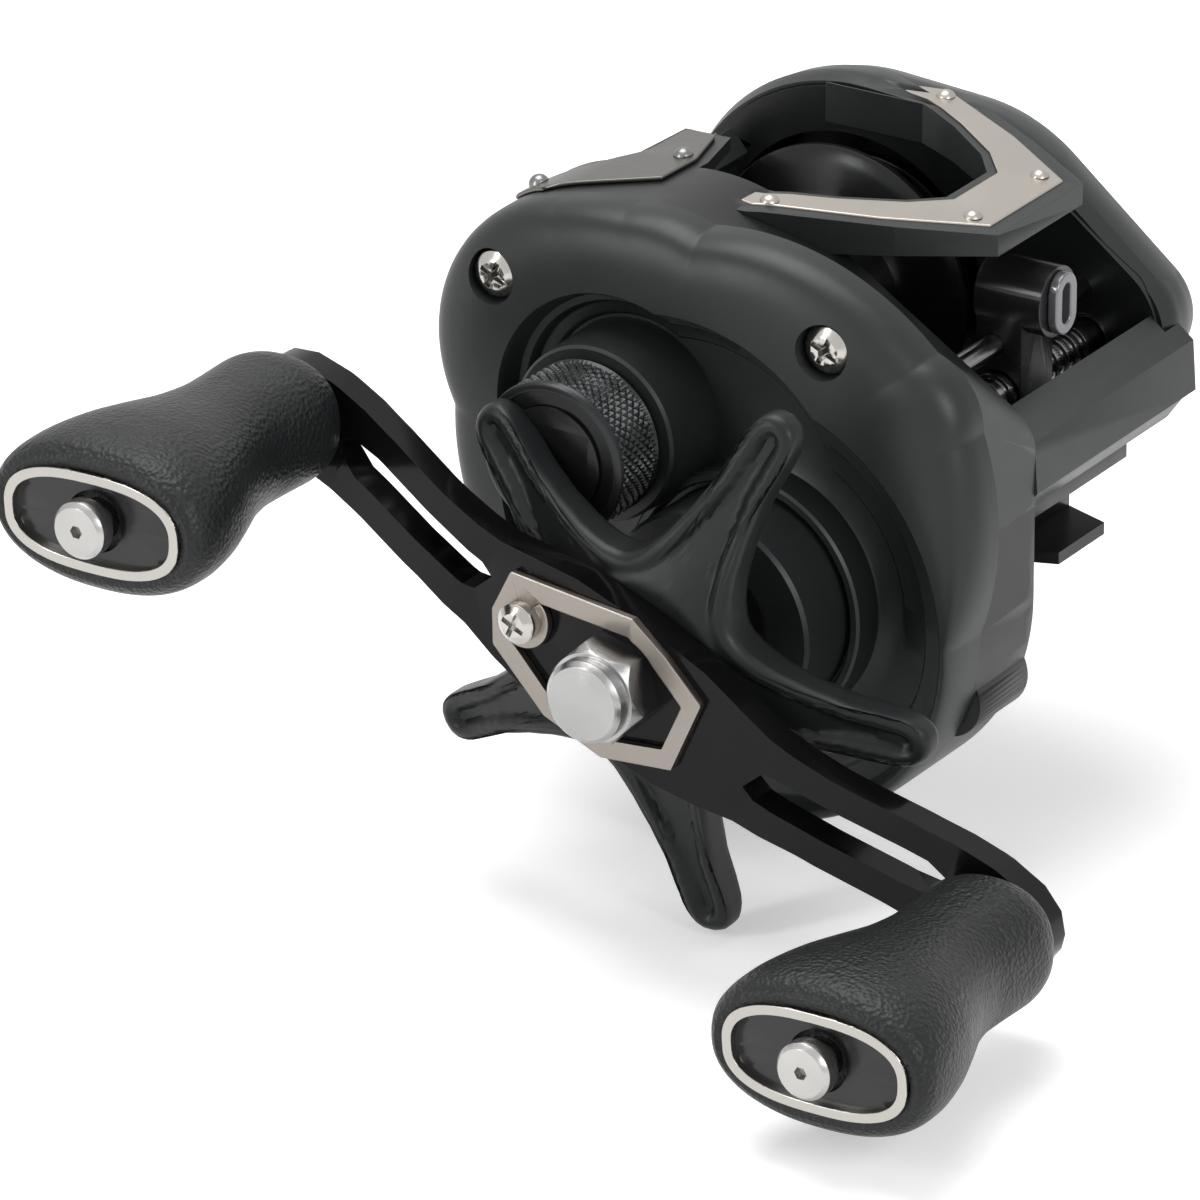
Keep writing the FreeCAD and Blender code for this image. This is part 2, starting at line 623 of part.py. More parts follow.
def star_drag():
    hub = cone_x(STAR_X - 0.3, 8.6, STAR_X + 2.2, 11.6, HANDLE_Y, HANDLE_Z)
    hub = hub.fuse(tube_x(STAR_X + 2.2, STAR_X + 5.0, 11.6, HANDLE_Y, HANDLE_Z))
    hub = hub.fuse(tube_x(STAR_X + 5.0, -38.2, 6.2, HANDLE_Y, HANDLE_Z))
    for i in range(5):
        hub = hub.fuse(star_arm(STAR_PHASE + 72.0 * i))
    return hub.cut(tube_x(-60, -30, 3.0 + FIT_GAP, HANDLE_Y, HANDLE_Z))


def arm_point(u, v):
    """Handle coordinates: u along the arm to the rear knob, v across it."""
    a = math.radians(ARM_ANGLE)
    return (HANDLE_Y + u * math.cos(a) - v * math.sin(a), HANDLE_Z + u * math.sin(a) + v * math.cos(a))


ARM_HALF_OUTLINE = [(0.0, 7.6), (8.0, 7.3), (12.5, 6.4), (17.0, 5.3), (24.0, 4.9), (34.0, 5.0), (42.0, 5.3),
                    (46.0, 4.9), (48.6, 3.6), (50.0, 1.6), (50.3, 0.0)]
ARM_BEND = [(13.0, 0.0), (20.0, 0.1), (26.0, 0.35), (33.0, 0.74), (37.5, 0.94), (41.0, 1.0), (52.0, 1.0)]
SLOT = [(16.4, 1.2), (17.6, -1.2), (19.0, -1.7), (35.5, -1.9), (38.0, -1.0), (38.6, 0.4), (37.4, 1.5),
        (34.0, 1.9), (18.0, 1.9)]


def arm_outline():
    """Point-symmetric outline of the arm."""
    upper = [(u, v) for u, v in ARM_HALF_OUTLINE]
    lower = [(u, -v) for u, v in reversed(ARM_HALF_OUTLINE[:-1])]
    right = upper + lower
    left = [(-u, -v) for u, v in right]
    return right[:-1] + left[:-1]


def handle_arm():
    ring = [arm_point(u, v) for u, v in arm_outline()]
    blank = poly_x(ring, ARM_X - 1.0, ARM_X + ARM_T + ARM_SWEEP + 1.0)
    profile = [(-u, part * ARM_SWEEP) for u, part in reversed(ARM_BEND)]
    profile = profile + [(u, part * ARM_SWEEP) for u, part in ARM_BEND]
    front = [V(ARM_X + x, u, -20) for u, x in profile]
    back = [V(ARM_X + ARM_T + x, u, -20) for u, x in reversed(profile)]
    strip = Part.Face(Part.makePolygon(front + back + front[:1])).extrude(V(0, 0, 40))
    strip.rotate(V(0, 0, 0), V(1, 0, 0), ARM_ANGLE)
    strip.translate(V(0, HANDLE_Y, HANDLE_Z))
    arm = blank.common(strip)
    for side in (1.0, -1.0):
        slot = [arm_point(side * u, side * v) for u, v in SLOT]
        arm = arm.cut(poly_x(slot, ARM_X - 2, ARM_X + 12))
        y, z = arm_point(side * ARM_HALF, 0.0)
        arm = arm.cut(tube_x(-60, -40, 2.0, y, z))
    arm = arm.cut(tube_x(-60, -40, 3.0, HANDLE_Y, HANDLE_Z))
    screw_y, screw_z = arm_point(11.2, 0.0)
    return arm.cut(tube_x(-60, -52.6, 1.2, screw_y, screw_z))


RETAINER = [(14.4, 3.9), (0.8, 8.0), (-4.0, 6.6), (-9.4, 4.4), (-9.4, -4.0), (-2.2, -7.8), (5.0, -7.8),
            (13.0, -4.4), (14.6, -1.0)]


RETAINER_WINDOW = [(12.2, 2.2), (0.4, 5.9), (-3.4, 4.7), (-7.6, 2.9), (-7.6, -2.6), (-1.6, -5.9), (4.4, -5.9),
                   (11.4, -2.8), (12.4, -0.6)]


def retainer_plate():
    ring = [arm_point(u, v) for u, v in RETAINER]
    plate = poly_x(ring, ARM_X - 0.9, ARM_X)
    window = poly_x([arm_point(u, v) for u, v in RETAINER_WINDOW], ARM_X - 2, ARM_X + 1)
    screw_y, screw_z = arm_point(11.2, 0.0)
    lobe = tube_x(ARM_X - 0.9, ARM_X, 3.0, screw_y, screw_z)
    nut_ring = tube_x(ARM_X - 2, ARM_X + 1, 5.7, HANDLE_Y, HANDLE_Z)
    plate = plate.cut(window).fuse(lobe).cut(nut_ring)
    return plate.cut(tube_x(-60, -50, 1.2, screw_y, screw_z))


def retainer_screw():
    y, z = arm_point(11.2, 0.0)
    head = phillips_head(ARM_X - 0.9 - 1.2, y, z, 2.1)
    return head.fuse(tube_x(ARM_X - 0.9, ARM_X + 1.5, 1.15, y, z))


def handle_nut():
    ring = ring_positions(6, 5.4, HANDLE_Y, HANDLE_Z, math.radians(14.0))
    hexagon = poly_x(ring, -58.6, ARM_X)
    hexagon = hexagon.common(cone_x(-59.4, 4.2, -57.0, 5.6, HANDLE_Y, HANDLE_Z).fuse(
        tube_x(-57.0, ARM_X, 5.6, HANDLE_Y, HANDLE_Z)))
    cap = tube_x(NUT_X + 0.5, -58.4, 4.3, HANDLE_Y, HANDLE_Z)
    cap = cap.fuse(cone_x(NUT_X, 3.8, NUT_X + 0.5, 4.3, HANDLE_Y, HANDLE_Z))
    return hexagon.fuse(cap).cut(tube_x(-55.6, ARM_X + 1, 3.0, HANDLE_Y, HANDLE_Z))


KNOB_SECTIONS = ((KNOB_X, 5.4, 5.0), (KNOB_X - 1.2, 6.8, 6.2), (-54.0, 7.4, 6.8), (-60.0, 6.9, 6.7),
                 (-66.0, 8.0, 7.0), (-72.0, 10.4, 7.8), (-77.0, 12.0, 8.2), (-81.0, 12.3, 7.8),
                 (-83.2, 12.0, 6.9), (KNOB_END_X, 11.2, 6.0))


RING_Y = 10.2             # half sizes of the chrome end ring
RING_Z = 5.2


def knob_centre(side):
    return arm_point(side * ARM_HALF, 0.0)


def knob_body(side):
    y, z = knob_centre(side)
    wires = [oval_wire(x, y, z, a, b) for x, a, b in KNOB_SECTIONS]
    body = Part.makeLoft(wires, True, False)
    pocket = Part.Face(oval_wire(-90, y, z, RING_Y, RING_Z)).extrude(V(7.6, 0, 0))
    return body.cut(pocket).cut(tube_x(-90, -40, 2.0 + FIT_GAP, y, z))


def knob_ring(side):
    y, z = knob_centre(side)
    outer = Part.Face(oval_wire(KNOB_END_X - 0.3, y, z, RING_Y, RING_Z)).extrude(V(1.9, 0, 0))
    inner = Part.Face(oval_wire(KNOB_END_X - 1, y, z, RING_Y - 1.0, RING_Z - 1.0)).extrude(V(4, 0, 0))
    return outer.cut(inner)


def knob_insert(side):
    y, z = knob_centre(side)
    plate = Part.Face(oval_wire(KNOB_END_X + 0.5, y, z, RING_Y - 1.0, RING_Z - 1.0)).extrude(V(1.0, 0, 0))
    return plate.cut(tube_x(-90, -80, 3.2, y, z))


def knob_shaft(side):
    y, z = knob_centre(side)
    rod = tube_x(-84.6, ARM_X + ARM_T + ARM_SWEEP, 2.0, y, z)
    return rod.fuse(tube_x(ARM_X + ARM_SWEEP - 0.25, ARM_X + ARM_SWEEP, 3.4, y, z))


def knob_cap(side):
    y, z = knob_centre(side)
    cap = tube_x(CAP_X + 0.5, -84.6, 2.95, y, z).fuse(cone_x(CAP_X, 2.5, CAP_X + 0.5, 2.95, y, z))
    hexagon = poly_x(ring_positions(6, 0.7, y, z), CAP_X - 1, CAP_X + 1.0)
    return cap.cut(hexagon)


SHAPES = {
    "frame": frame, "handle_side_cover": handle_side_cover, "cover_screws": cover_screws,
    "palm_side_cover": palm_side_cover, "brake_dial": brake_dial, "magnet_plate": magnet_plate,
    "bearing_cup": bearing_cup, "top_hood": top_hood, "horseshoe_trim": trim_solid,
    "trim_rivets": trim_rivets, "nose_cover": nose_cover, "foot": foot, "foot_screws": foot_screws,
    "shoulder_plate": shoulder_plate, "shoulder_pins": shoulder_pins,
    "thumb_bar": thumb_bar, "thumb_trim": thumb_trim, "clutch_plate": clutch_plate, "spool": spool,
    "spool_shaft": spool_shaft, "spool_bearings": spool_bearings, "pinion": pinion,
    "drive_gear": drive_gear, "wind_gear": wind_gear, "drag_washers": drag_washers,
    "drive_shaft": drive_shaft, "roller_bearing": roller_bearing, "worm_shaft": worm_shaft,
    "worm_gear": worm_gear, "worm_bushes": worm_bushes, "guide_rod": guide_rod,
    "line_guide": line_guide, "line_guide_insert": line_guide_insert, "pawl_cap": pawl_cap,
    "tension_knob": tension_knob, "tension_ring": tension_ring, "tension_cap": tension_cap,
    "star_drag": star_drag, "handle_arm": handle_arm, "retainer_plate": retainer_plate,
    "retainer_screw": retainer_screw, "handle_nut": handle_nut,
}
for side, name in ((1.0, "rear"), (-1.0, "front")):
    for piece in (knob_body, knob_ring, knob_insert, knob_shaft, knob_cap):
        SHAPES[piece.__name__ + "_" + name] = lambda piece=piece, side=side: piece(side)

for name, make in SHAPES.items():
    shape = make()
    if len(shape.Solids) == 1:
        shape = shape.removeSplitter()
    shape.translate(V(0, 0, SEAT_DROP))
    print(name, shape.isValid(), len(shape.Solids), round(shape.Volume, 1))
    shape.exportStep("parts/" + name + ".step")
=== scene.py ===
import json
import math

import bmesh
import bpy
import numpy as np
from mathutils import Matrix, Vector


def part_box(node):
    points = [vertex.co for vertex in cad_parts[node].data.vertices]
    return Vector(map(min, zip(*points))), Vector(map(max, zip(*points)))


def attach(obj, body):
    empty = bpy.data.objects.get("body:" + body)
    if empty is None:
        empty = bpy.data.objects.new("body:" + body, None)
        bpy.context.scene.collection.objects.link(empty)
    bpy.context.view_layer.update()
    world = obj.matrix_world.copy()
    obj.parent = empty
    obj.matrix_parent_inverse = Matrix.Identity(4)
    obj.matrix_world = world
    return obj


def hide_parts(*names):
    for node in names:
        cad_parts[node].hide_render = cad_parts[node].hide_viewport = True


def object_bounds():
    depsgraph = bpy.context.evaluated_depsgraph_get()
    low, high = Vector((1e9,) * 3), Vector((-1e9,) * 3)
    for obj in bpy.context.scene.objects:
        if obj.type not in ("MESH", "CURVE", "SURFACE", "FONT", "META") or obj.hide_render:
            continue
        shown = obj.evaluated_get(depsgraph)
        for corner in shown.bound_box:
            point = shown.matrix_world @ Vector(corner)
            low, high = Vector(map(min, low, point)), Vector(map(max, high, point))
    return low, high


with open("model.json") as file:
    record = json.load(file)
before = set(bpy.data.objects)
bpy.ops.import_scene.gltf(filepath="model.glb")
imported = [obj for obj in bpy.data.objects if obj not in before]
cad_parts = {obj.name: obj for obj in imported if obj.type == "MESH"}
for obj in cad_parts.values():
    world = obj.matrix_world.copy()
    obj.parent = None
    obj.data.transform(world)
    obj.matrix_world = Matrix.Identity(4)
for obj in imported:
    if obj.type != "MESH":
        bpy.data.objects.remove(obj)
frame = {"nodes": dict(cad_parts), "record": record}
cad_low, cad_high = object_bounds()

# ---------------------------------------------------------------- studio
# A plain white table and backdrop, one large soft lamp over the reel, one
# at the front and a narrow strip that draws the bright lines on the gloss
# parts. The camera is a long lens, high at the front corner of the reel.
MM = 0.001
scene = bpy.context.scene
scene.view_settings.view_transform = "Standard"

lens = bpy.data.cameras.new("camera")
camera = bpy.data.objects.new("camera", lens)
scene.collection.objects.link(camera)
lens.sensor_width = 36.0
lens.lens = 318.5
lens.clip_start, lens.clip_end = 0.05, 20.0
turn, rise = math.radians(-57.7076), math.radians(23.659)
camera.location = (-0.85599, -0.51978, 0.42462)
camera.rotation_euler = (math.pi / 2 - rise, 0.0, turn)
scene.camera = camera


def lamp(name, place, aim, size, power, tall=None):
    """Square or oblong area lamp at place, pointed at aim."""
    data = bpy.data.lights.new(name, "AREA")
    data.shape = "RECTANGLE"
    data.size, data.size_y = size, tall or size
    data.energy = power
    lamp_object = bpy.data.objects.new(name, data)
    scene.collection.objects.link(lamp_object)
    lamp_object.location = place
    way = Vector(aim) - Vector(place)
    lamp_object.rotation_euler = way.to_track_quat("-Z", "Y").to_euler()


lamp("over_lamp", (0.05, 0.15, 0.75), (-0.02, 0.0, 0.0), 0.55, 5.0)
lamp("front_lamp", (-0.35, -0.75, 0.45), (-0.02, 0.0, 0.0), 0.35, 3.0)
lamp("side_strip", (-0.75, 0.35, 0.35), (-0.04, 0.0, 0.0), 0.12, 2.4, 0.5)


def background_nodes(tree, plain, glow):
    """Mixes plain shading with a white glow for camera, glossy and transmission rays."""
    path = tree.nodes.new("ShaderNodeLightPath")
    most = tree.nodes.new("ShaderNodeMath")
    most.operation = "MAXIMUM"
    tree.links.new(path.outputs["Is Camera Ray"], most.inputs[0])
    tree.links.new(path.outputs["Is Glossy Ray"], most.inputs[1])
    also = tree.nodes.new("ShaderNodeMath")
    also.operation = "MAXIMUM"
    tree.links.new(most.outputs[0], also.inputs[0])
    tree.links.new(path.outputs["Is Transmission Ray"], also.inputs[1])
    mix = tree.nodes.new("ShaderNodeMixShader")
    tree.links.new(also.outputs[0], mix.inputs[0])
    tree.links.new(plain, mix.inputs[1])
    tree.links.new(glow, mix.inputs[2])
    return mix.outputs[0]


world = bpy.data.worlds.new("studio")
scene.world = world
world.use_nodes = True
tree = world.node_tree
tree.nodes.clear()
soft = tree.nodes.new("ShaderNodeBackground")
soft.inputs["Color"].default_value = (1.0, 1.0, 1.0, 1.0)
soft.inputs["Strength"].default_value = 0.35
white = tree.nodes.new("ShaderNodeBackground")
white.inputs["Color"].default_value = (1.0, 1.0, 1.0, 1.0)
white.inputs["Strength"].default_value = 1.0
out = tree.nodes.new("ShaderNodeOutputWorld")
tree.links.new(background_nodes(tree, soft.outputs[0], white.outputs[0]), out.inputs["Surface"])


FLOOR_HALF = 1.5          # metres
FLOOR_DROP = 0.0006       # clears the knob, the lowest piece
floor_z = cad_low[2] - FLOOR_DROP
across, along = np.meshgrid([-FLOOR_HALF, FLOOR_HALF], [-FLOOR_HALF, FLOOR_HALF], indexing="ij")
corners = np.stack([across, along, np.full_like(across, floor_z)], -1).reshape(-1, 3)
floor_mesh = bpy.data.meshes.new("floor")
floor_mesh.from_pydata(corners.tolist(), [], [(0, 2, 3, 1)])
floor_mesh.update()
floor = bpy.data.objects.new("floor", floor_mesh)
scene.collection.objects.link(floor)
table = bpy.data.materials.new("white_table")
table.use_nodes = True
tree = table.node_tree
board = tree.nodes["Principled BSDF"]
board.inputs["Base Color"].default_value = (0.93, 0.93, 0.93, 1.0)
board.inputs["Roughness"].default_value = 0.9
glow = tree.nodes.new("ShaderNodeEmission")
glow.inputs["Strength"].default_value = 0.35
add = tree.nodes.new("ShaderNodeAddShader")
tree.links.new(board.outputs[0], add.inputs[0])
tree.links.new(glow.outputs[0], add.inputs[1])
tree.links.new(add.outputs[0], tree.nodes["Material Output"].inputs["Surface"])
floor.data.materials.append(table)

# ---------------------------------------------------------------- cast body parts
# The frame, palm-side cover, hood, nose and foot are moulded and cast parts
# with a fine black satin coat. Each is the exact body part with its doubled
# points merged and its edges eased, so it catches a thin line of light.
record = frame["record"]
body_for = {node: body for body, nodes in record["behaviour"]["bodies"].items() for node in nodes}


def eased(node, width_mm, stuff, angle=32.0, steps=2):
    """Merged copy of a body part with every edge sharper than the angle rounded by the width."""
    mesh = frame["nodes"][node].data.copy()
    mesh.materials.clear()
    shape = bmesh.new()
    shape.from_mesh(mesh)
    bmesh.ops.remove_doubles(shape, verts=shape.verts, dist=2e-6)
    bmesh.ops.dissolve_degenerate(shape, edges=shape.edges, dist=2e-6)
    shape.to_mesh(mesh)
    shape.free()
    piece = bpy.data.objects.new(node + "_finish", mesh)
    scene.collection.objects.link(piece)
    mesh.shade_smooth()
    mesh.set_sharp_from_angle(angle=math.radians(angle))
    if width_mm > 0:
        ease = piece.modifiers.new("ease", "BEVEL")
        ease.width = width_mm * MM
        ease.segments = steps
        ease.limit_method = "ANGLE"
        ease.angle_limit = math.radians(angle)
        ease.harden_normals = True
        ease.miter_outer = "MITER_ARC"
    return seated(piece, node, stuff)


def seated(piece, node, stuff):
    """Gives a piece its material and its body, in place of the body part, which it hides."""
    piece.data.materials.clear()
    piece.data.materials.append(stuff)
    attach(piece, body_for[node])
    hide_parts(node)
    return piece


def group(name, takes, gives):
    """Empty shader node group with float, vector or colour sockets; returns it with its two ends."""
    kinds = {"f": "NodeSocketFloat", "v": "NodeSocketVector", "c": "NodeSocketColor"}
    tree = bpy.data.node_groups.new(name, "ShaderNodeTree")
    for label, kind in takes:
        tree.interface.new_socket(name=label, in_out="INPUT", socket_type=kinds[kind])
    for label, kind in gives:
        tree.interface.new_socket(name=label, in_out="OUTPUT", socket_type=kinds[kind])
    return tree, tree.nodes.new("NodeGroupInput"), tree.nodes.new("NodeGroupOutput")


def sums(tree, kind, first, second=None, third=None):
    """Math node on sockets or numbers; returns its result."""
    node = tree.nodes.new("ShaderNodeMath")
    node.operation = kind
    for i, item in enumerate((first, second, third)):
        if item is None:
            continue
        if isinstance(item, (int, float)):
            node.inputs[i].default_value = item
        else:
            tree.links.new(item, node.inputs[i])
    return node.outputs[0]


def noise(tree, vector, scale, detail=3.0, roughness=0.55):
    """Noise texture at a vector; scale is a socket or number."""
    node = tree.nodes.new("ShaderNodeTexNoise")
    node.inputs["Detail"].default_value = detail
    node.inputs["Roughness"].default_value = roughness
    tree.links.new(vector, node.inputs["Vector"])
    if isinstance(scale, (int, float)):
        node.inputs["Scale"].default_value = scale
    else:
        tree.links.new(scale, node.inputs["Scale"])
    return node.outputs["Fac"]


def finish_ends(tree, ends, height, shade, patch):
    """Colour is Tone times a swing, Rough is Rough plus a swing, and Normal is the height as a bump."""
    into, out = ends
    lift = sums(tree, "MULTIPLY_ADD", sums(tree, "SUBTRACT", shade, 0.5), into.outputs["Tone Swing"], 1.0)
    tint = tree.nodes.new("ShaderNodeVectorMath")
    tint.operation = "SCALE"
    tree.links.new(into.outputs["Tone"], tint.inputs[0])
    tree.links.new(lift, tint.inputs["Scale"])
    tree.links.new(tint.outputs[0], out.inputs["Colour"])
    rough = sums(tree, "MULTIPLY_ADD", sums(tree, "SUBTRACT", patch, 0.5), into.outputs["Rough Swing"],
                 into.outputs["Rough"])
    tree.links.new(rough, out.inputs["Rough"])
    bump = tree.nodes.new("ShaderNodeBump")
    bump.inputs["Strength"].default_value = 1.0
    tree.links.new(into.outputs["Relief"], bump.inputs["Distance"])
    tree.links.new(height, bump.inputs["Height"])
    tree.links.new(bump.outputs[0], out.inputs["Normal"])


COMMON = [("Tone", "c"), ("Tone Swing", "f"), ("Rough", "f"), ("Rough Swing", "f"), ("Relief", "f"),
          ("Scale", "f")]
GIVES = [("Colour", "c"), ("Rough", "f"), ("Normal", "v")]

# Fine sprayed or moulded grain: a small noise for the relief, a broad one for the tone.
cast_grain, *ends = group("cast_grain", COMMON, GIVES)
spot = cast_grain.nodes.new("ShaderNodeTexCoord").outputs["Object"]
fine = noise(cast_grain, spot, ends[0].outputs["Scale"], 2.0)
broad = noise(cast_grain, spot, 130.0, 3.0)
finish_ends(cast_grain, ends, fine, broad, noise(cast_grain, spot, 420.0, 4.0))


def coated(name, recipe, tone, metal, rough, specular=0.5, relief=8e-6, scale=5000.0, tone_swing=0.3,
           rough_swing=0.10, coat=0.0, extra=None):
    """Material whose colour, roughness and relief come from a shared recipe group."""
    stuff = bpy.data.materials.new(name)
    stuff.use_nodes = True
    tree = stuff.node_tree
    surface = tree.nodes["Principled BSDF"]
    grain = tree.nodes.new("ShaderNodeGroup")
    grain.node_tree = recipe
    for label, value in (("Tone", (*tone, 1.0)), ("Tone Swing", tone_swing), ("Rough", rough),
                         ("Rough Swing", rough_swing), ("Relief", relief), ("Scale", scale)):
        grain.inputs[label].default_value = value
    for label, value in (extra or {}).items():
        grain.inputs[label].default_value = value
    tree.links.new(grain.outputs["Colour"], surface.inputs["Base Color"])
    tree.links.new(grain.outputs["Rough"], surface.inputs["Roughness"])
    tree.links.new(grain.outputs["Normal"], surface.inputs["Normal"])
    surface.inputs["Metallic"].default_value = metal
    surface.inputs["Specular IOR Level"].default_value = specular
    if coat:
        surface.inputs["Coat Weight"].default_value = coat
        surface.inputs["Coat Roughness"].default_value = 0.08
    return stuff


satin_black = coated("satin_black", cast_grain, (0.0120, 0.0136, 0.0140), 0.0, 0.40, 0.34)
frame_black = coated("frame_black", cast_grain, (0.0065, 0.0070, 0.0076), 0.0, 0.34, 0.26)
eased("palm_side_cover", 0.6, satin_black, 30.0)
eased("frame", 0.35, frame_black, 30.0)
eased("top_hood", 1.1, satin_black, 28.0, 4)
eased("nose_cover", 0.5, satin_black, 28.0)
eased("brake_dial", 0.3, frame_black)
eased("foot", 0.3, frame_black)
eased("thumb_bar", 0.4, satin_black)

# ---------------------------------------------------------------- bright trim
# The horseshoe round the spool opening, the small rear trim and the plate
# under the handle nut are pressed nickel-plated strips, brushed along their
# length, with eased edges.
brushed_lines, *ends = group("brushed_lines", COMMON + [("Stretch", "v")], GIVES)
place = brushed_lines.nodes.new("ShaderNodeTexCoord").outputs["Object"]
drawn = brushed_lines.nodes.new("ShaderNodeVectorMath")
drawn.operation = "MULTIPLY"
brushed_lines.links.new(place, drawn.inputs[0])
brushed_lines.links.new(ends[0].outputs["Stretch"], drawn.inputs[1])
hair = noise(brushed_lines, drawn.outputs[0], ends[0].outputs["Scale"], 3.0, 0.65)
finish_ends(brushed_lines, ends, hair, noise(brushed_lines, place, 90.0, 2.0), hair)

warm_nickel = coated("warm_nickel", brushed_lines, (0.40, 0.37, 0.335),
                     1.0, 0.34, 0.5, 4e-6, 1.0, 0.18, 0.22,
                     extra={"Stretch": (120.0, 5200.0, 5200.0)})
plate_nickel = coated("plate_nickel", brushed_lines, (0.27, 0.245, 0.22),
                      1.0, 0.36, 0.5, 3e-6, 1.0, 0.15, 0.20,
                      extra={"Stretch": (5000.0, 300.0, 5000.0)})
eased("horseshoe_trim", 0.18, warm_nickel, 30.0, 3)
gun_nickel = coated("gun_nickel", brushed_lines, (0.13, 0.125, 0.115), 1.0, 0.34, 0.5, 4e-6, 1.0, 0.2, 0.2,
                    extra={"Stretch": (5200.0, 160.0, 5200.0)})
for node in ("shoulder_plate", "thumb_trim"):
    eased(node, 0.2, gun_nickel)
eased("retainer_plate", 0.14, plate_nickel)

# ---------------------------------------------------------------- screws and rivets
# Small fasteners: plated cross-head screws in the side cover and the plate,
# domed rivets in the trim and domed pins in the shoulder plate.
bright_screw = coated("bright_screw", cast_grain, (0.46, 0.445, 0.42),
                      1.0, 0.20, 0.5, 6e-6, 1800.0, 0.25, 0.16)
dull_pin = coated("dull_pin", cast_grain, (0.20, 0.20, 0.20), 1.0, 0.30, 0.5, 5e-6, 2500.0)
for node in ("cover_screws", "retainer_screw"):
    eased(node, 0.12, bright_screw)
eased("trim_rivets", 0.08, warm_nickel)
eased("shoulder_pins", 0.0, dull_pin)
eased("foot_screws", 0.1, bright_screw)

# ---------------------------------------------------------------- spool and brake
# The spool is turned from aluminium and anodised near black; its flanges and
# hub keep the fine rings of the lathe tool. Its shaft and bearings are steel.
turned_rings, *ends = group("turned_rings", COMMON + [("Centre", "v")], GIVES)
place = turned_rings.nodes.new("ShaderNodeTexCoord").outputs["Object"]
apart = turned_rings.nodes.new("ShaderNodeVectorMath")
apart.operation = "SUBTRACT"
turned_rings.links.new(place, apart.inputs[0])
turned_rings.links.new(ends[0].outputs["Centre"], apart.inputs[1])
split = turned_rings.nodes.new("ShaderNodeSeparateXYZ")
turned_rings.links.new(apart.outputs[0], split.inputs[0])
radius = sums(turned_rings, "SQRT", sums(turned_rings, "ADD",
              sums(turned_rings, "MULTIPLY", split.outputs[1], split.outputs[1]),
              sums(turned_rings, "MULTIPLY", split.outputs[2], split.outputs[2])))
feed = sums(turned_rings, "ADD", radius, split.outputs[0])
groove = turned_rings.nodes.new("ShaderNodeTexNoise")
groove.noise_dimensions = "1D"
groove.inputs["Detail"].default_value = 3.0
groove.inputs["Roughness"].default_value = 0.7
turned_rings.links.new(sums(turned_rings, "MULTIPLY", feed, ends[0].outputs["Scale"]), groove.inputs["W"])
finish_ends(turned_rings, ends, groove.outputs["Fac"], noise(turned_rings, place, 150.0, 2.0),
            groove.outputs["Fac"])

spool_low, spool_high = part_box("spool")
spool_axis = (0.0, (spool_low[1] + spool_high[1]) / 2, (spool_low[2] + spool_high[2]) / 2)
nut_low, nut_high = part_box("handle_nut")
crank_axis = (0.0, (nut_low[1] + nut_high[1]) / 2, (nut_low[2] + nut_high[2]) / 2)
black_turned = coated("black_turned", turned_rings, (0.010, 0.0105, 0.011),
                      0.55, 0.24, 0.5, 5e-6, 2600.0, 0.3, 0.10,
                      extra={"Centre": spool_axis})
grey_turned = coated("grey_turned", turned_rings, (0.16, 0.16, 0.165), 1.0, 0.30, 0.5, 5e-6, 2600.0,
                     extra={"Centre": spool_axis})
steel_turned = coated("steel_turned", turned_rings, (0.50, 0.50, 0.49),
                      1.0, 0.24, 0.5, 4e-6, 3000.0, 0.2, 0.14,
                      extra={"Centre": spool_axis})
steel_crank = coated("steel_crank", turned_rings, (0.50, 0.50, 0.49),
                     1.0, 0.24, 0.5, 4e-6, 3000.0, 0.2, 0.14,
                     extra={"Centre": crank_axis})
brass_crank = coated("brass_crank", turned_rings, (0.52, 0.37, 0.15),
                     1.0, 0.28, 0.5, 4e-6, 3000.0, 0.2, 0.14,
                     extra={"Centre": crank_axis})
eased("spool", 0.18, black_turned, 25.0, 3)
eased("spool_shaft", 0.1, steel_turned)
for node in ("spool_bearings", "bearing_cup", "magnet_plate"):
    eased(node, 0.1, grey_turned)

# ---------------------------------------------------------------- gear train
# Inside the handle side: a brass drive gear on a steel shaft, the pinion, the
# drag washers, the one-way roller bearing and the clutch plate.
washer_black = coated("washer_black", cast_grain, (0.015, 0.015, 0.016), 0.0, 0.55, 0.4, 2e-5, 3000.0)
eased("drive_gear", 0.0, brass_crank)
eased("pinion", 0.0, brass_crank)
eased("drive_shaft", 0.1, steel_crank)
eased("roller_bearing", 0.1, steel_crank)
eased("drag_washers", 0.1, washer_black)
eased("clutch_plate", 0.1, grey_turned)
for node in ("wind_gear", "worm_gear"):
    eased(node, 0.0, washer_black)

# ---------------------------------------------------------------- line guide
# The carriage slides on the cross-grooved worm and a polished rod. It is
# black moulded resin with a hard grey ring where the line runs through.
worm_low, worm_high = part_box("worm_shaft")
worm_axis = (0.0, (worm_low[1] + worm_high[1]) / 2, (worm_low[2] + worm_high[2]) / 2)
worm_steel = coated("worm_steel", turned_rings, (0.22, 0.22, 0.22), 1.0, 0.22, 0.5, 4e-6, 2600.0,
                    extra={"Centre": worm_axis})
guide_black = coated("guide_black", cast_grain, (0.010, 0.010, 0.011), 0.0, 0.26, 0.45, 5e-6, 4200.0)
ring_grey = coated("ring_grey", cast_grain, (0.17, 0.17, 0.18), 0.6, 0.22, 0.5, 2e-6, 3500.0)
eased("worm_shaft", 0.12, worm_steel)
eased("worm_bushes", 0.15, guide_black)
eased("guide_rod", 0.1, worm_steel)
eased("line_guide", 0.35, guide_black, 30.0, 3)
eased("line_guide_insert", 0.25, ring_grey, 30.0, 3)
eased("pawl_cap", 0.2, worm_steel)

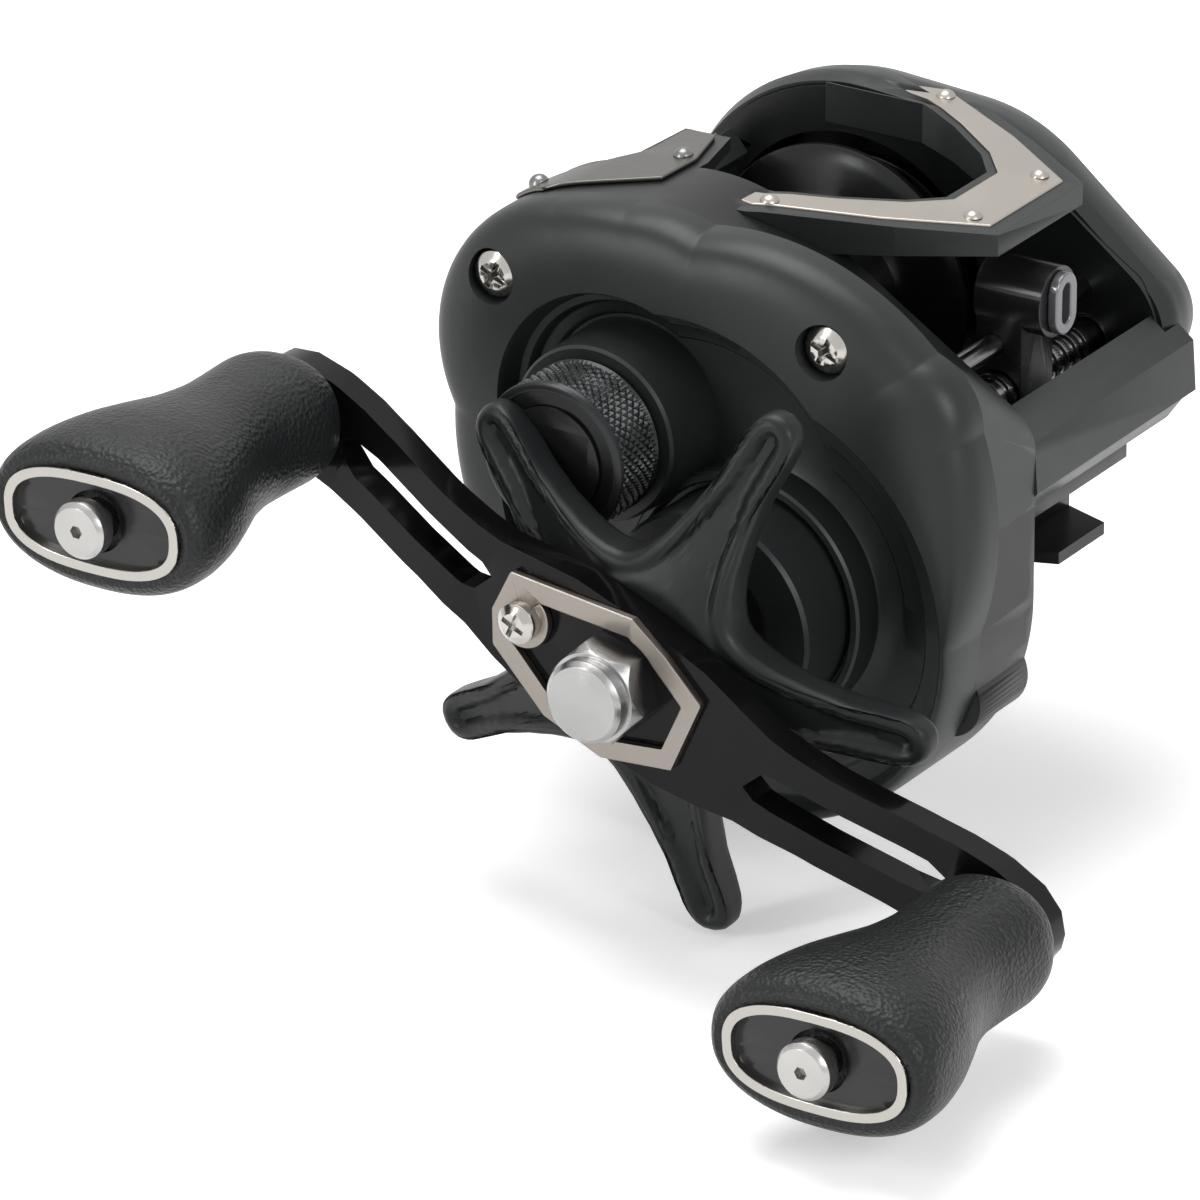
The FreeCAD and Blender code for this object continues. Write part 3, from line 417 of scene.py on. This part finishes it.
# ---------------------------------------------------------------- cast tension knob
# The screw knob over the end of the spool shaft: anodised aluminium with
# diamond knurling cut round its rim, a polished ring and a plain end cap.
def turned_shape(name, profile, axis, turns, radius_of=None):
    """Closed profile of (x, r) points in millimetres carried round an axis along X.

    Point (i, j) is (x_i, y0 + r cos a_j, z0 + r sin a_j); radius_of may change r by place and angle."""
    x, r = np.asarray(profile, float).T * MM
    a = np.linspace(0.0, 2 * math.pi, turns, endpoint=False)
    x, a = np.meshgrid(x, a, indexing="ij")
    r = np.repeat(r[:, None], turns, 1)
    if radius_of is not None:
        r = radius_of(x, r, a)
    rings = np.stack([x, axis[1] + r * np.cos(a), axis[2] + r * np.sin(a)], -1)
    return ring_mesh(name, rings)


def ring_mesh(name, rings):
    """Mesh over a grid that closes round each ring and from the last ring to the first.

    The quads are turned over if the volume that they enclose comes out negative."""
    m, n = rings.shape[:2]
    i, j = np.meshgrid(np.arange(m), np.arange(n), indexing="ij")
    k, l = (i + 1) % m, (j + 1) % n
    quads = np.stack([i * n + j, i * n + l, k * n + l, k * n + j], -1).reshape(-1, 4)
    points = rings.reshape(-1, 3)
    first, second, third, fourth = (points[quads[:, i]] for i in range(4))
    inside = (first * np.cross(second, third)).sum() + (first * np.cross(third, fourth)).sum()
    if inside < 0:
        quads = quads[:, ::-1]
    mesh = bpy.data.meshes.new(name)
    mesh.from_pydata(points.tolist(), [], quads.tolist())
    mesh.update()
    mesh.shade_smooth()
    mesh.set_sharp_from_angle(angle=math.radians(38.0))
    piece = bpy.data.objects.new(name, mesh)
    scene.collection.objects.link(piece)
    return piece


knob_low, knob_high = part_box("tension_knob")
back, front = knob_high[0] / MM, knob_low[0] / MM
rim = (knob_high[2] - knob_low[2]) / 2 / MM
band = np.linspace(front + 0.9, back - 0.9, 42)


def diamonds(x, r, a):
    """Cuts two crossing sets of grooves: the depth grows with the larger of two triangle waves."""
    across = 46 * a / (2 * math.pi)
    along = x / (2 * math.pi * rim * MM / 46)
    wave = np.maximum(np.abs((across + along) % 1.0 - 0.5), np.abs((across - along) % 1.0 - 0.5)) * 2.0
    inside = (x > (front + 0.85) * MM) & (x < (back - 0.85) * MM) & (r > (rim - 0.3) * MM)
    return np.where(inside, r - 0.42 * MM * wave ** 1.5, r)


profile = [(front + 0.8, 2.2), (front + 0.8, 7.2), (front, 7.2), (front, rim - 0.45),
           (front + 0.15, rim - 0.15), (front + 0.5, rim - 0.05),
           (front + 0.8, rim - 0.25)] + [(x, rim) for x in band] + [
           (back - 0.75, rim - 0.25), (back - 0.4, rim - 0.05), (back - 0.05, rim - 0.3), (back, rim - 0.5),
           (back, 6.45), (-38.0, 6.45), (-38.0, 2.2)]
knob_metal = coated("knob_metal", turned_rings, (0.020, 0.021, 0.022), 0.6, 0.26, 0.5, 3e-6, 2600.0,
                    extra={"Centre": spool_axis})
seated(turned_shape("tension_knob_knurl", profile, spool_axis, 644, diamonds), "tension_knob", knob_metal)
eased("tension_ring", 0.1, black_turned, 30.0)
eased("tension_cap", 0.3, black_turned, 30.0, 3)

# ---------------------------------------------------------------- handle side cover
# One moulded cover closes the gear side. A domed band runs round it, and inside
# that the face steps down in terraces to a round boss that carries the drive
# shaft. Two round pockets take its screws.
spool_y, spool_z = spool_axis[1] / MM, spool_axis[2] / MM
crank_y, crank_z = crank_axis[1] / MM, crank_axis[2] / MM
middle = np.array([spool_y - 9.0, spool_z - 8.0])
CRANK = (-14.8, -16.1)    # drive shaft from the spool's axis, along Y and Z
OUTER = [(7.0, 5.0, 15.8), (-2.0, 1.0, 20.8), (-31.5, 5.5, 7.6), (*CRANK, 24.3)]
AROUND = 720              # points in each ring
SEAM_X, INSIDE_X, FLOOR_X = -25.0, -24.4, -26.6


def belt(circles):
    """Outline of a belt round circles (y, z, r), as its distance from the middle at even angles.

    In each direction the belt reaches the furthest circle's support point; those points are read by angle."""
    way = np.linspace(0.0, 2 * math.pi, 7200, endpoint=False)
    n = np.stack([np.cos(way), np.sin(way)], -1)
    c = np.array(circles, float)
    c[:, 0] += spool_y
    c[:, 1] += spool_z
    best = (c[:, :2] @ n.T + c[:, 2:3]).argmax(0)
    points = c[best, :2] + c[best, 2:3] * n - middle
    angle = np.unwrap(np.arctan2(points[:, 1], points[:, 0]))
    even = np.linspace(0.0, 2 * math.pi, AROUND, endpoint=False)
    order = np.argsort(angle % (2 * math.pi))
    length = np.hypot(points[:, 0], points[:, 1])
    return np.interp(even, (angle % (2 * math.pi))[order], length[order], period=2 * math.pi)


def side_cover_shape(name):
    """Rings out from the seam over the domed band, down the terraces to the boss, and back along the inside.

    Each ring is a belt outline at one place along X; the band follows a quarter of a superellipse."""
    even = np.linspace(0.0, 2 * math.pi, AROUND, endpoint=False)
    ray = np.stack([np.cos(even), np.sin(even)], -1)
    outer, rings = belt(OUTER), []
    lip = belt([(0, 0, 13.6), (*CRANK, 23.3)])
    lip = np.minimum(lip, outer - 0.7)
    lip_x = -31.3 + 1.6 * np.clip((np.array(middle[1] + lip * ray[:, 1]) - crank_z) / -20.0, 0, 1)

    def ring(length, x):
        place_x = np.broadcast_to(x, (AROUND,))[:, None]
        rings.append(np.concatenate([place_x, middle + length[:, None] * ray], -1))

    for t in np.linspace(0.0, 1.0, 16):
        rise = math.sin(t * math.pi / 2) ** (2 / 3.2)
        inset = 1.0 - math.cos(t * math.pi / 2) ** (2 / 3.2)
        ring(outer + (lip - outer) * inset, SEAM_X + (lip_x - SEAM_X) * rise)
    steps = [(13.5, 23.1, 0.15), (13.3, 22.9, 0.5), (12.9, 22.3, 2.4), (12.7, 22.0, 2.7),
             (12.0, 20.0, 2.8), (11.8, 19.8, 3.0), (11.5, 19.4, 4.0), (11.3, 19.1, 4.15),
             (10.4, 17.0, 4.2), (10.2, 16.8, 4.35), (9.9, 16.4, 4.9), (9.6, 16.2, 5.0)]
    for spool_r, crank_r, deep in steps:
        terrace = np.minimum(belt([(0, 0, spool_r), (*CRANK, crank_r)]), lip - 0.05)
        ring(terrace, np.minimum(lip_x + deep, FLOOR_X))
    for crank_r, x in [(13.9, FLOOR_X), (13.6, -26.8), (13.55, -30.3), (13.3, -30.6), (12.7, -30.6),
                       (12.5, -30.4),
                       (12.3, -29.2), (11.9, -29.2), (11.85, -29.4), (11.85, -37.1), (11.5, -37.5)]:
        ring(belt([(*CRANK, crank_r)]), x)
    last = rings[-1].copy()
    for share, x in [(0.62, -37.5), (0.61, -36.9), (0.54, -36.8), (0.54, INSIDE_X)]:
        inner = last.copy()
        inner[:, 1:] = (crank_y, crank_z) + share * (last[:, 1:] - (crank_y, crank_z))
        inner[:, 0] = x
        rings.append(inner)
    ring(outer - 2.4, INSIDE_X)
    ring(outer - 2.4, SEAM_X)
    return ring_mesh(name, np.stack(rings) * MM)


side_cover = side_cover_shape("side_cover")
pockets = []
for y, z in ((14.6, 12.4), (-24.0, 12.6)):
    pocket = turned_shape("pocket", [(-40.0, 0.3), (-40.0, 3.0), (-28.7, 2.8), (-28.7, 0.3)],
                          (0.0, (spool_y + y) * MM, (spool_z + z) * MM), 64)
    sink = side_cover.modifiers.new("pocket", "BOOLEAN")
    sink.operation = "DIFFERENCE"
    sink.solver = "EXACT"
    sink.object = pocket
    pockets.append(pocket)
bpy.context.view_layer.update()
cut = bpy.data.meshes.new_from_object(side_cover.evaluated_get(bpy.context.evaluated_depsgraph_get()))
side_cover.modifiers.clear()
side_cover.data = cut
cut.shade_smooth()
cut.set_sharp_from_angle(angle=math.radians(35.0))
for pocket in pockets:
    bpy.data.objects.remove(pocket)
seated(side_cover, "handle_side_cover", satin_black)
neck = turned_shape("tension_neck", [(-34.9, 5.0), (-34.9, 9.0), (-34.6, 9.3), (-26.5, 9.6), (-26.5, 5.0)],
                    spool_axis, 128)
neck.data.materials.append(satin_black)
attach(neck, "reel_frame")

# ---------------------------------------------------------------- star drag
# The drag is set by a five-armed star behind the handle. It is one satin black
# casting: slim arms with a raised rim round a shallow dish and rounded tips.
star_black = coated("star_black", cast_grain, (0.0080, 0.0088, 0.0092), 0.0, 0.40, 0.26, 9e-6, 5200.0)
reach = np.array([(11.7, 36.0), (11.9, 31.0), (12.7, 24.0), (14.8, 16.2), (18.2, 10.4), (22.0, 7.0),
                  (25.4, 6.0), (27.8, 5.3), (29.2, 4.0), (29.9, 2.2), (30.1, 0.0)])


def star_outline(phase, count=44):
    """Outline of five arms: half an arm's (radius, angle) points, mirrored, rounded by a sliding mean."""
    t = np.linspace(0.0, 1.0, len(reach))
    fine = np.linspace(0.0, 1.0, 12 * count)
    r, a = np.interp(fine, t, reach[:, 0]), np.interp(fine, t, reach[:, 1])
    r, a = np.concatenate([r, r[::-1][1:]]), np.concatenate([-a, a[::-1][1:]])
    width = 2 * count // 3
    weights = np.hanning(width + 2)[1:-1]
    weights /= weights.sum()
    r = np.convolve(np.pad(r, width, "reflect"), weights, "same")[width:-width]
    a = np.convolve(np.pad(a, width, "reflect", reflect_type="odd"), weights, "same")[width:-width]
    pick = np.linspace(0, len(r) - 1, count, endpoint=False).round().astype(int)
    angle = np.radians(phase + 72.0 * np.arange(5)[:, None] + a[pick][None]).ravel()
    return np.tile(r[pick], 5), angle


def star_shape(name, phase, face_x):
    """Front and back skins of the star joined round its outline.

    A point runs from the bore to the outline; its place along X is the sweep of the arm by radius, plus a
    dish that fades out near the edge, plus a quarter circle at the edge itself."""
    r_edge, angle = star_outline(phase)
    edge = np.stack([r_edge * np.cos(angle), r_edge * np.sin(angle)], -1)
    bore = 3.1 * np.stack([np.cos(angle), np.sin(angle)], -1)
    s = 1.0 - (1.0 - np.linspace(0.0, 1.0, 46)) ** 1.7
    flat = bore[None] + (edge - bore)[None] * s[:, None, None]
    gap = np.sqrt(((flat[:, :, None] - edge[None, None]) ** 2).sum(-1)).min(-1)
    gap[-1] = 0.0
    r = np.sqrt((flat ** 2).sum(-1))
    sweep = np.interp(r, [0, 9, 14, 20, 26, 30.1], [0.0, 0.0, 1.2, 3.0, 4.7, 5.6])
    thick = np.interp(r, [0, 12, 18, 26, 30.1], [4.8, 4.8, 3.8, 3.4, 3.2])
    turn_in = 1.1 - np.sqrt(np.clip(1.1 ** 2 - (1.1 - np.clip(gap, 0, 1.1)) ** 2, 0, None))
    dish = 1.0 * np.clip((gap - 1.0) / 1.1, 0, 1) ** 2 * np.clip((r - 9.5) / 4.0, 0, 1)
    front = face_x + sweep + turn_in + dish
    rear = face_x + sweep + thick - turn_in
    skins = np.concatenate([np.concatenate([front[..., None], flat], -1),
                            np.concatenate([rear[..., None], flat], -1)[::-1]])
    skins[..., 1] += crank_axis[1] / MM
    skins[..., 2] += crank_axis[2] / MM
    return ring_mesh(name, skins * MM)


star_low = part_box("star_drag")[0]
seated(star_shape("star_arms", 43.5, star_low[0] / MM + 0.1), "star_drag", star_black)
sleeve_x = star_low[0] / MM + 4.0
sleeve = [(sleeve_x, 3.1), (sleeve_x, 6.2), (-38.5, 6.2), (-38.2, 5.9), (-38.2, 3.1)]
sleeve_piece = turned_shape("star_sleeve", sleeve, crank_axis, 96)
sleeve_piece.data.materials.append(star_black)
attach(sleeve_piece, "star")

# ---------------------------------------------------------------- handle
# A swept double handle of forged aluminium, gloss black, with a long slot in
# each half. A hexagon nut with a round cap holds it to the drive shaft.
gloss_black = coated("gloss_black", cast_grain, (0.0030, 0.0030, 0.0034),
                     0.0, 0.13, 0.12, 2e-6, 2400.0, 0.2, 0.05,
                     coat=0.08)
nut_steel = coated("nut_steel", turned_rings, (0.36, 0.357, 0.355),
                   1.0, 0.22, 0.5, 1.1e-5, 4200.0, 0.25, 0.16,
                   extra={"Centre": crank_axis})
eased("handle_arm", 0.75, gloss_black, 40.0, 3)
eased("handle_nut", 0.22, nut_steel, 30.0, 3)

# ---------------------------------------------------------------- handle knobs
# Two moulded grips with a pebbled skin, narrow at the arm and full at the end.
# Each has a chromed oval ring, a black inlay and a round steel cap on its pin.
pebbled, *ends = group("pebbled", COMMON, GIVES)
place = pebbled.nodes.new("ShaderNodeTexCoord").outputs["Object"]
cells = pebbled.nodes.new("ShaderNodeTexVoronoi")
cells.feature = "SMOOTH_F1"
cells.inputs["Smoothness"].default_value = 0.6
pebbled.links.new(place, cells.inputs["Vector"])
pebbled.links.new(ends[0].outputs["Scale"], cells.inputs["Scale"])
grit = noise(pebbled, place, 2600.0, 3.0)
lumps = sums(pebbled, "MULTIPLY_ADD", grit, 0.45, cells.outputs["Distance"])
finish_ends(pebbled, ends, lumps, grit, noise(pebbled, place, 300.0, 3.0))

grip_rubber = coated("grip_rubber", pebbled, (0.0085, 0.0092, 0.0096),
                     0.0, 0.40, 0.26, 1.3e-4, 2100.0, 0.5, 0.12)
ring_chrome = coated("ring_chrome", cast_grain, (0.40, 0.385, 0.36), 1.0, 0.17, 0.5, 2e-6, 900.0, 0.1, 0.05)
inlay_black = coated("inlay_black", cast_grain, (0.006, 0.006, 0.007), 0.0, 0.24, 0.45, 3e-6, 3000.0)


def grip_shape(name, centre_y, centre_z):
    """Oval rings down the grip, back through the end pocket and the bore.

    Half sizes come from a smoothed table by place along the grip; a ring is a superellipse of power 2.3."""
    x_key = np.array([-49.6, -50.0, -50.8, -53.0, -57.0, -61.5, -66.0, -70.0, -74.0, -78.0,
                      -81.0, -82.6, -83.6, -84.0])
    a_key = np.array([5.4, 6.2, 6.9, 7.4, 7.2, 7.0, 8.0, 9.6, 11.1, 12.1, 12.4, 12.3, 11.8, 11.2])
    b_key = np.array([5.0, 5.7, 6.3, 6.8, 6.7, 6.7, 7.0, 7.6, 8.1, 8.2, 7.9, 7.5, 6.8, 6.1])
    t = np.linspace(0.0, 1.0, 15 * len(x_key))
    spine = np.stack([np.interp(t, np.linspace(0, 1, len(x_key)), key) for key in (x_key, a_key, b_key)], -1)
    weights = np.hanning(23)[1:-1]
    weights /= weights.sum()
    padded = np.pad(spine, ((11, 11), (0, 0)), "reflect", reflect_type="odd")
    spine = np.stack([np.convolve(padded[:, i], weights, "same")[11:-11] for i in range(3)], -1)[::2]
    power = np.full(len(spine), 2.3)
    close = np.array([(-83.9, 10.6, 5.55, 2.2), (-83.7, 10.25, 5.25, 2.1), (-82.4, 10.25, 5.25, 2.0),
                      (-82.4, 2.1, 2.1, 2.0), (-49.6, 2.1, 2.1, 2.0)])
    table = np.vstack([np.column_stack([spine, power]), close])
    angle = np.linspace(0.0, 2 * math.pi, 128, endpoint=False)
    c, d = np.cos(angle)[None], np.sin(angle)[None]
    x, a, b, p = (table[:, i][:, None] for i in range(4))
    y = centre_y + a * np.sign(c) * np.abs(c) ** (2 / p)
    z = centre_z + b * np.sign(d) * np.abs(d) ** (2 / p)
    return ring_mesh(name, np.stack([x + 0 * y, y, z], -1) * MM)


for side in ("rear", "front"):
    low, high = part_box("knob_ring_" + side)
    seated(grip_shape("grip_" + side, (low[1] + high[1]) / 2 / MM, (low[2] + high[2]) / 2 / MM),
           "knob_body_" + side, grip_rubber)
    axis = (0.0, (low[1] + high[1]) / 2, (low[2] + high[2]) / 2)
    cap_steel = coated("cap_steel_" + side, turned_rings, (0.42, 0.41, 0.40), 1.0, 0.26, 0.5, 4e-6, 2600.0,
                       extra={"Centre": axis})
    eased("knob_ring_" + side, 0.42, ring_chrome, 30.0, 3)
    eased("knob_insert_" + side, 0.1, inlay_black)
    eased("knob_shaft_" + side, 0.2, cap_steel)
    eased("knob_cap_" + side, 0.25, cap_steel, 30.0, 3)
